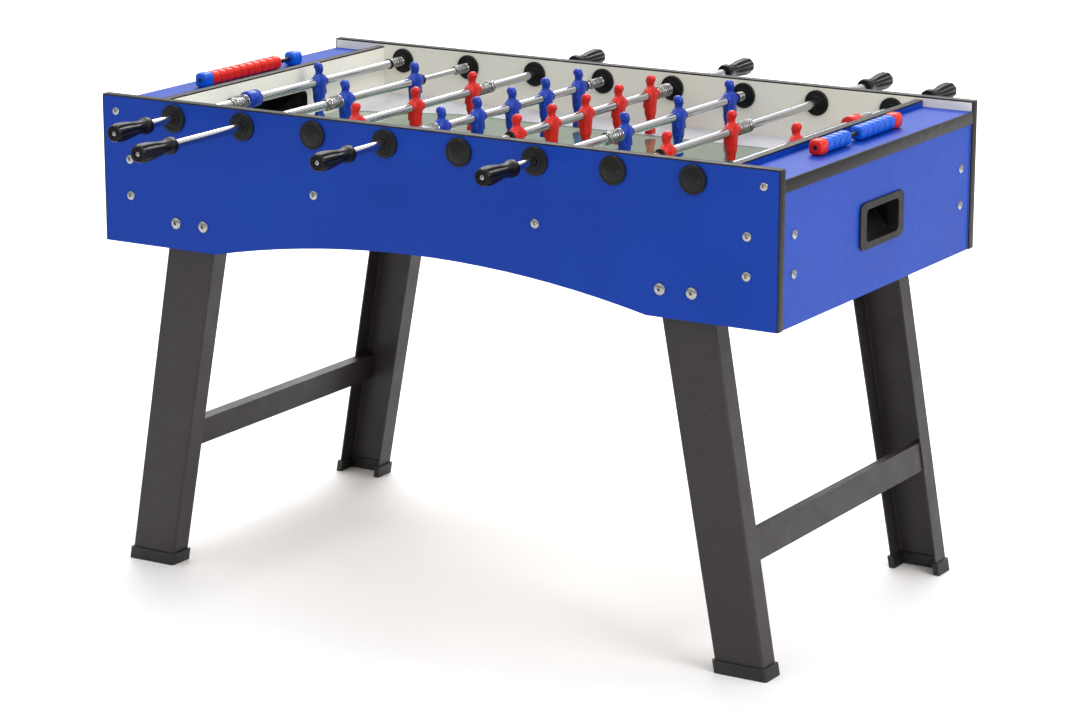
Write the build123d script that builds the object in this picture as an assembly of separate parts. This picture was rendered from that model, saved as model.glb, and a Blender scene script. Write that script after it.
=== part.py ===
from build123d import *
from math import atan, degrees
import os

os.makedirs("parts", exist_ok=True)

# Foosball table. Millimetres, +Z up, origin on the floor under the middle of the cabinet.
# +X runs along the table, -Y is the long side where the blue team's handles stand.
# Turned half a turn about Z, the table's structure and rods repeat themselves.

# ---- driving dimensions -------------------------------------------------------------------

# cabinet
LENGTH = 1368.0          # over the edge trims of the side panels
WIDTH = 754.0            # over the side panels
HEIGHT = 871.5           # floor to the top of the side panels' trim
PANEL_T = 18.0           # side and end panels
PANEL_H = 268.0          # side panel with its top trim
TRIM_T = 3.0
ARCH_SPAN = 878.0
ARCH_RISE = 48.0
GOAL_WALL_T = 16.0
GOAL_WALL_STEP = 6.5     # top of the goal wall below the top of the side panels
GOAL_WALL_FOOT = 45.0    # goal wall carried on below the playfield
GOALIE_GAP = 45.0        # goalkeeper rod to goal wall
SHELF_T = 22.0
SHELF_STEP = 18.5        # shelf below the top of the side panels

# playfield
FIELD_DROP = 109.5       # glass below the top of the side panels
GLASS_T = 4.0
BOARD_T = 18.0
RAMP_W = 75.0            # side ramp, square to the wall
RAMP_RISE = 8.0
RAMP_EDGE = 1.0          # height of the ramps' front edge
CORNER_RAMP_L = 225.0    # corner ramp, along the side wall
CORNER_RAMP_W = 162.0    # corner ramp, along the goal wall
CORNER_RISE = 12.0
GOAL_W = 195.0
GOAL_H = 55.0
GOAL_R = 12.0

# battens and corner posts inside the cabinet
BATTEN_W = 20.0
BATTEN_H = 30.0
POST = 56.0
POST_GAP = 6.0           # post below the shelf, and above the panels' lower edge

# ball outlets
OUTLET_W = 124.0
OUTLET_H = 57.0
OUTLET_R = 10.0
OUTLET_DROP = 149.0      # middle of the outlet below the top of the side panels
OUTLET_RIM = 21.0        # frame beyond the opening, sideways
OUTLET_RIM_H = 12.0      # frame beyond the opening, up and down
OUTLET_RIM_T = 4.0
MOULD_T = 3.0            # wall of the outlet moulding
FUNNEL_SIDE = 2.5        # funnel mouth beyond the goal mouth, each side and above
FUNNEL_SILL = 9.0        # funnel floor below the glass at the goal mouth

# rods
ROD_PITCH = 150.0
ROD_DROP = 31.2          # rod axis below the top of the side panels
TUBE_OD = 16.0
TUBE_ID = 13.0
BAR_D = 10.0
RUN_FIT = 0.05           # radial clearance of a running fit
BUSH_OD = 20.0
BUSH_T = 4.0
BUSH_PLUG = 14.0
BAR_ENGAGE = 60.0        # bar left inside the tube when the rod is pulled right out
BAR_SEAT = 4.0           # end of the bar short of the outer face of the panel
HANDLE_L = 100.0
HANDLE_BORE = 84.0       # tube inside the handle
TRAVEL = {1: 72.0, 2: 171.0, 3: 95.0, 5: 52.0}      # each way from the middle, by players
HAND_GAP = {1: 68.0, 2: 80.0, 3: 80.0, 5: 82.0}     # handle to bearing, rod pushed in
COLLAR_OD = 32.0
COLLAR_L = 34.0          # stop collar on the goalkeeper rods
TUBE_SPRING_L = 46.0
TUBE_SPRING_OD = 24.0
BAR_SPRING_L = 40.0
BAR_SPRING_OD = 18.0
SPRING_GAP = 0.4         # radial gap between a spring and what it rides on

# bearings
BEARING_OD = 50.0
BEARING_T = 5.0
HUB_OD = 26.0
HUB_STEP = 2.5           # hub standing out of the bearing's face
SLEEVE_OD = 20.0         # through the side panel
SLEEVE_GAP = 0.1
FLANGE_OD = 47.0
FLANGE_RIM = 4.5         # flange at its rim
FLANGE_T = 8.0           # flange at its hub
CAP_SCREW_SPREAD = 13.0  # cap screw to rod axis

# players
PLAYER_W = 38.0
PLAYER_D = 22.0
HEAD_R = 11.0
HEAD_TOP = 37.0          # above the rod axis
CHEST_TOP = 15.0
CHEST_LOW = 9.0          # lower end of the full chest, below the rod axis
HIP = 22.0               # below the rod axis
FOOT_DROP = 73.0         # sole below the rod axis
FOOT_H = 16.0
FOOT_W = 20.0
FOOT_D = 15.0
HIP_W = 25.0
HIP_D = 14.0
ANKLE_W = 16.0
ANKLE_D = 9.0

# legs
LEG_T = 3.0
FOLD_R = 1.5             # inside the folds of the channel
LEG_FLANGE = 42.0        # depth of the channel over its web
LEG_TOP_DROP = 181.5     # top of the leg below the top of the side panels
LEG_IN_TOP = 457.0       # inner and outer edge, from the middle, at the panels' lower edge
LEG_OUT_TOP = 558.0
LEG_IN_FOOT = 569.0      # and on the floor
LEG_OUT_FOOT = 662.0
SHOE_H = 22.0
SHOE_T = 4.0
SHOE_SOLE = 3.0
SHOE_R = 6.0
STRETCHER_H = 51.0
STRETCHER_W = 20.0
STRETCHER_T = 2.0
STRETCHER_Z = 220.0      # middle of the stretcher above the floor

# fasteners: head diameter, head height, shank diameter, shank length
PANEL_SCREW = (16.5, 3.0, 6.0, 46.0)
CORNER_SCREW = (14.0, 2.5, 5.0, 46.0)
CAP_SCREW = (7.0, 1.2, 3.0, 16.0)
LEG_BOLT = (21.0, 4.5, 8.0, 32.0)
NUT_AF = 13.0
NUT_H = 6.5
HOLE_GAP = 0.1           # radial, around every shank
CORNER_SCREW_IN = 30.0   # corner screw from the end of the panel
SIDE_SCREW_IN = 59.0
END_SCREW_IN = 39.0      # end panel screw from the inner face of the side panel
SCREW_DROPS = (114.6, 180.6)
MID_SCREW_DROP = 137.5
LEG_BOLT_DROP = 220.5
LEG_BOLT_SPREAD = 60.0
LEG_BOLT_X = 495.0

# score counters
SCORER_LEN = 330.0
SCORER_IN = 52.0         # middle of the counter from the end of the cabinet
BLOCK = (26.0, 38.0, 27.0)
BLOCK_R = 5.0
BEAD = (25.0, 21.3, 25.0)
BEAD_R = 6.0
BEAD_PITCH = 21.5
BEADS = 10
BEADS_MOVED = 6          # beads slid over to the far end on the red team's side
SCORER_BAR_D = 8.0

# ---- rods: players, and how far each is pushed in at rest -----------------------------------

BLUE_RODS = {1: (1, 72.0), 2: (2, 56.0), 4: (5, 34.0), 6: (3, 112.0)}
RED_RODS = {3: (3, 54.0), 5: (5, -42.0), 7: (2, 83.0), 8: (1, 14.0)}

# ---- places that follow -----------------------------------------------------------------------

half_l = LENGTH / 2 - TRIM_T
half_w = WIDTH / 2
inner_w = half_w - PANEL_T
low = HEIGHT - PANEL_H
shelf_top = HEIGHT - SHELF_STEP
shelf_low = shelf_top - SHELF_T
field = HEIGHT - FIELD_DROP
board_low = field - GLASS_T - BOARD_T
axis_z = HEIGHT - ROD_DROP
goal_x = 3.5 * ROD_PITCH + GOALIE_GAP
goal_back = goal_x + GOAL_WALL_T
goal_top = HEIGHT - GOAL_WALL_STEP - TRIM_T
end_in = half_l - PANEL_T
outlet_z = HEIGHT - OUTLET_DROP
stop = inner_w - FLANGE_T
leg_top = HEIGHT - LEG_TOP_DROP
scorer_x = LENGTH / 2 - SCORER_IN
scorer_z = shelf_top + BLOCK[2] / 2
HALF_TURN = Rot(0, 0, 180)


# ---- helpers ------------------------------------------------------------------------------------

def block(x0, x1, y0, y1, z0, z1):
    """Box between two values on each axis."""
    size = (x1 - x0, y1 - y0, z1 - z0)
    return Pos((x0 + x1) / 2, (y0 + y1) / 2, (z0 + z1) / 2) * Box(*size)


def round_y(x, z, radius, y0, y1):
    """Cylinder along Y."""
    return Pos(x, (y0 + y1) / 2, z) * Rot(90, 0, 0) * Cylinder(radius, abs(y1 - y0))


def slab_y(face, y0, y1):
    """A face drawn in the XZ plane, made into a plate between two values of Y."""
    return Pos(0, max(y0, y1), 0) * extrude(face, abs(y1 - y0))


def section_x(x, z, width, height, radius):
    """Rounded rectangle square to X."""
    plane = Plane(origin=(x, 0, z), x_dir=(0, 1, 0), z_dir=(1, 0, 0))
    return plane * RectangleRounded(width, height, radius)


def four_corners(shape):
    """A shape in the +X -Y corner, and its copies in the other corners."""
    pair = [shape, mirror(shape, Plane.YZ)]
    return pair + [mirror(s, Plane.XZ) for s in pair]


def two_ends(shape):
    return [shape, HALF_TURN * shape]


def fastener(size):
    """Screw pointing down +Y from its head, which stands on the plane y = 0."""
    head_d, head_h, shank_d, length = size
    head = Rot(90, 0, 0) * Pos(0, 0, head_h / 2) * Cylinder(head_d / 2, head_h)
    head = fillet(head.edges().sort_by(Axis.Y)[0], head_h * 0.6)
    return head + round_y(0, 0, shank_d / 2, -0.1, length)


def drill(size):
    return round_y(0, 0, size[2] / 2 + HOLE_GAP, -0.1, size[3] + 1)


def save(node, *shapes):
    """Write one node: every shape given, as separate solids."""
    solids = [s for shape in shapes for s in shape.solids()]
    export_step(solids[0] if len(solids) == 1 else Compound(solids), f"parts/{node}.step")


# ---- fasteners: where they stand, each as a place on its panel's outer face -------------------------

on_front = Pos(0, -half_w, 0)
on_end = Pos(half_l, 0, 0) * Rot(0, 0, 90)
corner_screws = [on_front * Pos(s * (LENGTH / 2 - CORNER_SCREW_IN), 0, shelf_low + SHELF_T / 2)
                 for s in (-1, 1)]
side_screws = [on_front * Pos(s * (LENGTH / 2 - SIDE_SCREW_IN), 0, HEIGHT - drop)
               for s in (-1, 1) for drop in SCREW_DROPS]
mid_screws = [on_front * Pos(s * 1.5 * ROD_PITCH, 0, HEIGHT - MID_SCREW_DROP) for s in (-1, 1)]
end_screws = [on_end * Pos(s * (inner_w - END_SCREW_IN), 0, HEIGHT - drop)
              for s in (-1, 1) for drop in SCREW_DROPS]
leg_bolts = [on_front * Pos(s * LEG_BOLT_X + t * LEG_BOLT_SPREAD / 2, 0, HEIGHT - LEG_BOLT_DROP)
             for s in (-1, 1) for t in (-1, 1)]

screw_places = [(p, PANEL_SCREW) for p in side_screws + mid_screws + end_screws]
screw_places += [(p, CORNER_SCREW) for p in corner_screws]
screw_places += [(HALF_TURN * p, size) for p, size in screw_places]
bolt_places = [(p, LEG_BOLT) for p in leg_bolts + [HALF_TURN * p for p in leg_bolts]]
screw_holes = [p * drill(size) for p, size in screw_places]
bolt_holes = [p * drill(size) for p, size in bolt_places]

rod_x = {n: (n - 4.5) * ROD_PITCH for n in range(1, 9)}
cap_screws = [on_front * Pos(rod_x[n] + s * CAP_SCREW_SPREAD, -BEARING_T, axis_z)
              for n in RED_RODS for s in (-1, 1)]
cap_screws += [HALF_TURN * p for p in cap_screws]
cap_holes = [p * drill(CAP_SCREW) for p in cap_screws]


# ---- side panels -------------------------------------------------------------------------------------

def side_panel():
    """Front panel: arch in the lower edge, a hole for each bearing's sleeve."""
    top = HEIGHT - TRIM_T
    a = ARCH_SPAN / 2
    edge = Polyline((a, low), (half_l, low), (half_l, top), (-half_l, top), (-half_l, low), (-a, low))
    arch = ThreePointArc((-a, low), (0, low + ARCH_RISE), (a, low))
    panel = slab_y(make_face(Plane.XZ * (edge + arch)), -half_w, -inner_w)
    sleeves = [round_y(x, axis_z, SLEEVE_OD / 2 + SLEEVE_GAP, -half_w - 1, -inner_w + 1)
               for x in rod_x.values()]
    return panel - sleeves


front_panel = side_panel()
save("front_side_panel", front_panel - screw_holes - bolt_holes - cap_holes)
save("rear_side_panel", HALF_TURN * front_panel - screw_holes - bolt_holes - cap_holes)

# ---- end panels, goal walls and shelves --------------------------------------------------------------

mould_w = OUTLET_W + 2 * MOULD_T
mould_h = OUTLET_H + 2 * MOULD_T
mould_r = OUTLET_R + MOULD_T
end_panel = block(end_in, half_l, -inner_w, inner_w, low, shelf_low)
outlet_cut = section_x(end_in - 1, outlet_z, mould_w + 2 * HOLE_GAP, mould_h + 2 * HOLE_GAP, mould_r)
end_panel -= extrude(outlet_cut, PANEL_T + 2)
save("end_panels", *[e - screw_holes for e in two_ends(end_panel)])

goal_wall = block(goal_x, goal_back, -inner_w, inner_w, board_low - GOAL_WALL_FOOT, goal_top)
mouth_z = field + GOAL_H / 2 - GOAL_R
mouth = extrude(section_x(goal_x - 1, mouth_z, GOAL_W, GOAL_H + 2 * GOAL_R, GOAL_R), GOAL_WALL_T + 2)
mouth -= block(goal_x - 2, goal_back + 2, -GOAL_W, GOAL_W, 0, field)
save("goal_walls", *two_ends(goal_wall - mouth))

shelf = block(goal_back, half_l, -inner_w, inner_w, shelf_low, shelf_top)
save("shelves", *[s - screw_holes for s in two_ends(shelf)])

# ---- black edge trims ------------------------------------------------------------------------------------

top_trim = block(-LENGTH / 2, LENGTH / 2, -half_w, -inner_w, HEIGHT - TRIM_T, HEIGHT)
end_trim = block(half_l, LENGTH / 2, -half_w, -inner_w, low, HEIGHT - TRIM_T)
shelf_trim = block(half_l, LENGTH / 2, -inner_w, inner_w, shelf_low, shelf_top)
goal_trim = block(goal_x, goal_back, -inner_w, inner_w, goal_top, goal_top + TRIM_T)
trims = two_ends(top_trim) + four_corners(end_trim) + two_ends(shelf_trim) + two_ends(goal_trim)
save("edge_trims", *trims)

# ---- playfield: board, glass, ramps, battens and corner posts ----------------------------------------------

save("playfield_board", block(-goal_x, goal_x, -inner_w, inner_w, board_low, field - GLASS_T))
save("playfield_glass", block(-goal_x, goal_x, -inner_w, inner_w, field - GLASS_T, field))


def ramp_section(x, width, rise):
    """Cross-section of a ramp against the front wall."""
    points = [(-inner_w, field), (-inner_w + width, field), (-inner_w + width, field + RAMP_EDGE),
              (-inner_w, field + rise)]
    plane = Plane(origin=(x, 0, 0), x_dir=(0, 1, 0), z_dir=(1, 0, 0))
    return plane * make_face(Polyline(*points, close=True))


ramp_end = goal_x - CORNER_RAMP_L
side_ramp = extrude(ramp_section(-ramp_end, RAMP_W, RAMP_RISE), 2 * ramp_end)
corner_ramp = loft([ramp_section(ramp_end, RAMP_W, RAMP_RISE),
                    ramp_section(goal_x, CORNER_RAMP_W, CORNER_RISE)], ruled=True)
save("field_ramps", *two_ends(side_ramp), *four_corners(corner_ramp))

batten = block(-goal_x, goal_x, -inner_w, -inner_w + BATTEN_W, board_low - BATTEN_H, board_low)
post = block(end_in - POST, end_in, -inner_w, -inner_w + POST, low + POST_GAP, shelf_low - POST_GAP)
frame = two_ends(batten) + four_corners(post)
save("battens_and_posts", *[f - screw_holes for f in frame])

# ---- ball outlets: a frame, a sleeve through the end panel, a funnel from the goal mouth ---------------------

funnel_w = GOAL_W + 2 * (FUNNEL_SIDE + MOULD_T)
funnel_top = field + GOAL_H + FUNNEL_SIDE + MOULD_T
funnel_low = field - FUNNEL_SILL - MOULD_T
funnel_z = (funnel_top + funnel_low) / 2
funnel_h = funnel_top - funnel_low


def funnel(wall):
    """The funnel and its sleeve as a full shape, this much inside the outer one."""
    wide = section_x(goal_back, funnel_z, funnel_w - 2 * wall, funnel_h - 2 * wall, mould_r - wall)
    narrow = section_x(end_in, outlet_z, mould_w - 2 * wall, mould_h - 2 * wall, mould_r - wall)
    return loft([wide, narrow]) + extrude(narrow, PANEL_T + (OUTLET_RIM_T + 1 if wall else 0))


rim_w = OUTLET_W + 2 * OUTLET_RIM
rim_h = OUTLET_H + 2 * OUTLET_RIM_H
rim = extrude(section_x(half_l, outlet_z, rim_w, rim_h, OUTLET_R + 4), OUTLET_RIM_T)
rim = chamfer(rim.faces().sort_by(Axis.X)[-1].edges(), 1.2)
save("ball_outlets", *two_ends(funnel(0) + rim - funnel(MOULD_T)))

# ---- bearings ---------------------------------------------------------------------------------------------------

tube_bore = TUBE_OD / 2 + RUN_FIT
bar_bore = BAR_D / 2 + RUN_FIT


def outer_bearing(x, is_open):
    """Outer half on the front panel: disc, hub and sleeve, bored through or closed."""
    face = -half_w - BEARING_T
    disc = round_y(x, axis_z, BEARING_OD / 2, face, -half_w)
    disc = fillet(disc.edges().sort_by(Axis.Y)[0], 1.5)
    sleeve = round_y(x, axis_z, SLEEVE_OD / 2, -half_w - 1, -inner_w)
    if is_open:
        hub = round_y(x, axis_z, HUB_OD / 2, face - HUB_STEP, -half_w)
        return disc + hub + sleeve - round_y(x, axis_z, tube_bore, face - 10, 0)
    return disc + sleeve - round_y(x, axis_z, bar_bore, -half_w + BAR_SEAT - 1, 0)


def inner_flange(x, bore):
    """Inner half: a stepped disc with its hub towards the playfield."""
    rim = round_y(x, axis_z, FLANGE_OD / 2, -inner_w, -inner_w + FLANGE_RIM)
    rim = fillet(rim.edges().sort_by(Axis.Y)[-1], 2)
    hub = round_y(x, axis_z, HUB_OD / 2, -inner_w, -stop)
    hub = fillet(hub.edges().sort_by(Axis.Y)[-1], 1.5)
    return rim + hub - round_y(x, axis_z, bore, -inner_w - 1, 0)


outer = [outer_bearing(rod_x[n], n in BLUE_RODS) for n in rod_x]
inner = [inner_flange(rod_x[n], tube_bore if n in BLUE_RODS else bar_bore) for n in rod_x]
outer = [o - cap_holes for o in outer]
save("outer_bearings", *outer, *[HALF_TURN * o for o in outer])
save("inner_bearings", *inner, *[HALF_TURN * i for i in inner])
save("bearing_screws", *[p * fastener(CAP_SCREW) for p in cap_screws])

# ---- legs, stretchers and shoes --------------------------------------------------------------------------------

out_slope = (LEG_OUT_FOOT - LEG_OUT_TOP) / low
in_slope = (LEG_IN_FOOT - LEG_IN_TOP) / low


def leg_outline(grow, z0, z1):
    """The splayed leg seen from the front, its two long edges moved out by grow."""
    points = [(LEG_IN_FOOT - in_slope * z - grow, z) for z in (z0, z1)]
    points += [(LEG_OUT_FOOT - out_slope * z + grow, z) for z in (z1, z0)]
    return Plane.XZ * make_face(Polyline(*points, close=True))


def long_edges(plate):
    """The two splayed edges on the web's side of a leg-shaped plate."""
    return plate.faces().sort_by(Axis.Y)[0].edges().filter_by(Axis.X, reverse=True)


flange_y = -inner_w + LEG_FLANGE
leg = slab_y(leg_outline(0, SHOE_SOLE, leg_top), -inner_w, flange_y)
leg = fillet(long_edges(leg), FOLD_R + LEG_T)
hollow = slab_y(leg_outline(-LEG_T, -20, leg_top + 20), -inner_w + LEG_T, flange_y + 1)
leg -= fillet(long_edges(hollow), FOLD_R)
legs = [s - bolt_holes for s in four_corners(leg)]
for name, shape in zip(("front_right", "front_left", "rear_right", "rear_left"), legs):
    save(f"{name}_leg", shape)

shoe_wall = SHOE_T + LEG_T
shoe = slab_y(leg_outline(SHOE_T, 0, SHOE_H), -inner_w - SHOE_T, flange_y + SHOE_T)
shoe = fillet(long_edges(shoe), SHOE_R)
shoe -= slab_y(leg_outline(-shoe_wall, -1, SHOE_H + 1), -inner_w + shoe_wall, flange_y + SHOE_T + 1)
save("leg_shoes", *[s - legs for s in four_corners(shoe)])

tilt = degrees(atan(out_slope))
stretcher_x = LEG_OUT_FOOT - out_slope * STRETCHER_Z
stretcher_len = 2 * (inner_w - LEG_T - FOLD_R)
tube_box = Box(STRETCHER_W, stretcher_len, STRETCHER_H)
tube_box -= Box(STRETCHER_W - 2 * STRETCHER_T, stretcher_len + 2, STRETCHER_H - 2 * STRETCHER_T)
set_in = Pos(-LEG_T - STRETCHER_W / 2, 0, 0)
save("stretchers", *two_ends(Pos(stretcher_x, 0, STRETCHER_Z) * Rot(0, -tilt, 0) * set_in * tube_box))

# ---- fasteners ----------------------------------------------------------------------------------------------------

save("panel_screws", *[p * fastener(size) for p, size in screw_places])

nut_y = PANEL_T + LEG_T
nut = Rot(-90, 0, 0) * extrude(RegularPolygon(NUT_AF / 2, 6, major_radius=False), NUT_H)
nut = Pos(0, nut_y, 0) * nut - drill(LEG_BOLT)
save("leg_bolts", *[p * fastener(size) for p, size in bolt_places], *[p * nut for p, size in bolt_places])

# ---- score counters --------------------------------------------------------------------------------------------------

end_block = fillet(Box(*BLOCK).edges().filter_by(Axis.Y), BLOCK_R)
end_block -= round_y(0, 0, SCORER_BAR_D / 2, -BLOCK[1], BLOCK[1])
bead = fillet(Box(*BEAD).edges().filter_by(Axis.Y), BEAD_R)
bead -= round_y(0, 0, SCORER_BAR_D / 2 + 2 * RUN_FIT, -BEAD[1], BEAD[1])
block_y = (SCORER_LEN - BLOCK[1]) / 2
first_bead = -SCORER_LEN / 2 + BLOCK[1] + BEAD_PITCH / 2


def at_counter(side, y):
    return Pos(side * scorer_x, y, scorer_z)


bar = round_y(0, 0, SCORER_BAR_D / 2, -SCORER_LEN / 2, SCORER_LEN / 2)
save("scorer_bars", *[at_counter(side, 0) * bar for side in (-1, 1)])
save("blue_scorer_blocks", *[at_counter(-1, y) * end_block for y in (-block_y, block_y)])
save("red_scorer_blocks", *[at_counter(1, y) * end_block for y in (-block_y, block_y)])

row = [first_bead + BEAD_PITCH * k for k in range(BEADS)]
left_at_front = row[:BEADS - BEADS_MOVED]
moved = [-y for y in row[:BEADS_MOVED]]
save("red_beads", *[at_counter(-1, y) * bead for y in row])
save("blue_beads_front", *[at_counter(1, y) * bead for y in left_at_front])
save("blue_beads_rear", *[at_counter(1, y) * bead for y in moved])


# ---- rods: built for the front side (handle at -Y, players facing +X), turned for the other team ---------------------

def ring(outer_r, inner_r, y0, y1):
    return round_y(0, 0, outer_r, y0, y1) - round_y(0, 0, inner_r, y0 - 1, y1 + 1)


def player():
    """Moulded player on the rod axis: chest, head, tapering legs and a square foot."""
    chest = loft([Plane.XY.offset(-HIP) * RectangleRounded(HIP_D, HIP_W, 4),
                  Plane.XY.offset(-CHEST_LOW) * RectangleRounded(PLAYER_D, PLAYER_W, 8)])
    chest += extrude(Plane.XY.offset(-CHEST_LOW) * RectangleRounded(PLAYER_D, PLAYER_W, 8),
                     CHEST_LOW + CHEST_TOP)
    head = Pos(0, 0, HEAD_TOP - HEAD_R) * Sphere(HEAD_R)
    hip_face = Plane.XY.offset(-HIP) * RectangleRounded(HIP_D, HIP_W, 4)
    ankle = Plane.XY.offset(FOOT_H - FOOT_DROP) * RectangleRounded(ANKLE_D, ANKLE_W, 3)
    foot = Pos(0, 0, FOOT_H / 2 - FOOT_DROP) * Box(FOOT_D, FOOT_W, FOOT_H)
    body = chest + head + loft([hip_face, ankle]) + foot
    return body - round_y(0, 0, TUBE_OD / 2, -PLAYER_W, PLAYER_W)


def handle():
    """Handle from its butt at y = 0: barrel, waist and collar, bored for the tube."""
    barrel = Spline((16.0, 6), (16.8, 22), (14.5, 48), (11.8, 70), (14.5, 86))
    profile = Polyline((0, 3), (5.6, 3), (5.6, 0), (13.0, 0), (16.0, 6))
    profile += barrel
    profile += Polyline((14.5, 86), (15.2, 90), (14.8, 97), (12.5, HANDLE_L), (0, HANDLE_L), (0, 3))
    body = revolve(make_face(profile), Axis.Y)
    return body - round_y(0, 0, TUBE_OD / 2, HANDLE_L - HANDLE_BORE, HANDLE_L + 1)


one_player = player()
one_handle = handle()


def save_rod(number, players, pushed, turn):
    """Bar, tube, players and handle of one rod, pushed in this far from the middle."""
    travel = TRAVEL[players]
    place = Pos(rod_x[number], 0, axis_z) * turn
    outermost = stop - TUBE_SPRING_L - PLAYER_W / 2 - travel
    butt = pushed - (half_w + BEARING_T + HAND_GAP[players] + HANDLE_L + travel)
    tube_end = pushed + stop - BAR_SPRING_L - BUSH_T - travel
    bush_end = tube_end + BUSH_T
    if players == 1:
        collar_low = pushed - (stop - TUBE_SPRING_L - travel)
        at = [pushed]
        spring_end = collar_low
        collar = [ring(COLLAR_OD / 2, TUBE_OD / 2, collar_low, collar_low + COLLAR_L)]
    else:
        pitch = 2 * outermost / (players - 1)
        at = [pushed - outermost + pitch * k for k in range(players)]
        spring_end = at[0] - PLAYER_W / 2
        collar = []
    figures = [Pos(0, y, 0) * one_player for y in at]
    save(f"rod_{number}_players", *[place * s for s in figures + collar])

    bar_from = tube_end - pushed - travel - BAR_ENGAGE
    spring_from = max(stop - BAR_SPRING_L, bush_end)
    inner_bar = round_y(0, 0, BAR_D / 2, bar_from, half_w - BAR_SEAT)
    bar_spring = ring(BAR_SPRING_OD / 2, BAR_D / 2 + SPRING_GAP, spring_from, stop)
    save(f"rod_{number}_bar", place * inner_bar, place * bar_spring)

    tube = ring(TUBE_OD / 2, TUBE_ID / 2, butt + HANDLE_L - HANDLE_BORE, tube_end)
    bush = ring(BUSH_OD / 2, bar_bore, tube_end, bush_end)
    bush += ring(TUBE_ID / 2, bar_bore, tube_end - BUSH_PLUG, tube_end + 1)
    tube_spring = ring(TUBE_SPRING_OD / 2, TUBE_OD / 2 + SPRING_GAP, spring_end - TUBE_SPRING_L, spring_end)
    screw = round_y(0, 0, 5.0, butt + 1, butt + 3)
    save(f"rod_{number}_tube", *[place * s for s in (tube, bush, tube_spring, screw)])

    save(f"rod_{number}_handle", place * Pos(0, butt, 0) * one_handle)


for number, (players, pushed) in BLUE_RODS.items():
    save_rod(number, players, pushed, Rot(0, 0, 0))
for number, (players, pushed) in RED_RODS.items():
    save_rod(number, players, pushed, HALF_TURN)
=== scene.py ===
import math

import bmesh
import bpy
from mathutils import Matrix, Vector


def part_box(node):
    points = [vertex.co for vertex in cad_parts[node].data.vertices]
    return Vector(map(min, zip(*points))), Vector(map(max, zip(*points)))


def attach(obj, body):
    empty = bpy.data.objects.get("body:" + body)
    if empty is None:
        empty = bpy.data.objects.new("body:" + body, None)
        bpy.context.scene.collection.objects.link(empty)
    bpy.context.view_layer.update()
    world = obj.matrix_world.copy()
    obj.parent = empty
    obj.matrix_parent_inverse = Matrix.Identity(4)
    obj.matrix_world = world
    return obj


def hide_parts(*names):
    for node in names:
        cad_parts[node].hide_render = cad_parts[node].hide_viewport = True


# Foosball table, in metres. The table stands on the floor at the origin, +X along its length,
# with the blue team's handles on the -Y side and the red team's on the +Y side.
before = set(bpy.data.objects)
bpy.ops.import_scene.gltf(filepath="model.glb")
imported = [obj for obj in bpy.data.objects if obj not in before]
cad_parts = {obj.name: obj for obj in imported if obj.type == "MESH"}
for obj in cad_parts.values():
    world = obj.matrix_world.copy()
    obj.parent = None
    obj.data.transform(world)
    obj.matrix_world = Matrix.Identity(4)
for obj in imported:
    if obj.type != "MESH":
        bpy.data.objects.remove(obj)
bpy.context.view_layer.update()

# ---- Boards -----------------------------------------------------------------------------------
# Side panels, end panels, goal walls and shelves: particle board faced with blue laminate on the
# outside and with pale laminate towards the playfield, screwed together at the corners. The goal
# walls' faces round the goal mouths get a near-black painted shade for the dark inside of the mouths.


def srgb(red, green, blue):
    """Colour given as a paint maker would, 0 to 255, as the shader's linear colour."""
    shares = [v / 255 for v in (red, green, blue)]
    linear = [s / 12.92 if s <= 0.04045 else ((s + 0.055) / 1.055) ** 2.4 for s in shares]
    return (*linear, 1.0)


def add_node(tree, kind, inputs=None, **settings):
    """Node with its settings; each input takes a value, or another node's output to link."""
    made = tree.nodes.new(kind)
    for name, value in settings.items():
        setattr(made, name, value)
    for socket, value in (inputs or {}).items():
        if isinstance(value, bpy.types.NodeSocket):
            tree.links.new(value, made.inputs[socket])
        else:
            made.inputs[socket].default_value = value
    return made


def reckon(tree, operation, *values, **settings):
    """Result of one sum on values or on other nodes' outputs."""
    given = dict(enumerate(values))
    return add_node(tree, "ShaderNodeMath", given, operation=operation, **settings).outputs[0]


def noise_at(tree, place, scale, detail):
    """Noise between 0 and 1 at a place."""
    given = {"Vector": place, "Scale": scale, "Detail": detail}
    return add_node(tree, "ShaderNodeTexNoise", given).outputs[0]


def spread(tree, value, low, high, to_low=0.0, to_high=1.0, **settings):
    """A value moved from one range to another and held inside it."""
    given = {"Value": value, "From Min": low, "From Max": high, "To Min": to_low, "To Max": to_high}
    return add_node(tree, "ShaderNodeMapRange", given, **settings).outputs[0]


def new_group(name, kind, inputs, outputs):
    """Empty node group: its tree, its given values, and the node that takes its results."""
    tree = bpy.data.node_groups.new(name, kind)
    for label, (socket, value) in inputs.items():
        made = tree.interface.new_socket(name=label, in_out="INPUT", socket_type="NodeSocket" + socket)
        if value is not None:
            made.default_value = value
    for label, socket in outputs.items():
        tree.interface.new_socket(name=label, in_out="OUTPUT", socket_type="NodeSocket" + socket)
    return tree, tree.nodes.new("NodeGroupInput").outputs, tree.nodes.new("NodeGroupOutput")


def mixed_colour(tree, mask, under, over):
    """One colour over another where a mask is 1."""
    return add_node(tree, "ShaderNodeMix", {0: mask, 6: under, 7: over}, data_type="RGBA").outputs[2]


def stretched_place(tree, stretch):
    """Object coordinates, drawn out by a vector."""
    place = add_node(tree, "ShaderNodeTexCoord").outputs["Object"]
    return add_node(tree, "ShaderNodeVectorMath", {0: place, 1: stretch}, operation="MULTIPLY").outputs[0]


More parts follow.
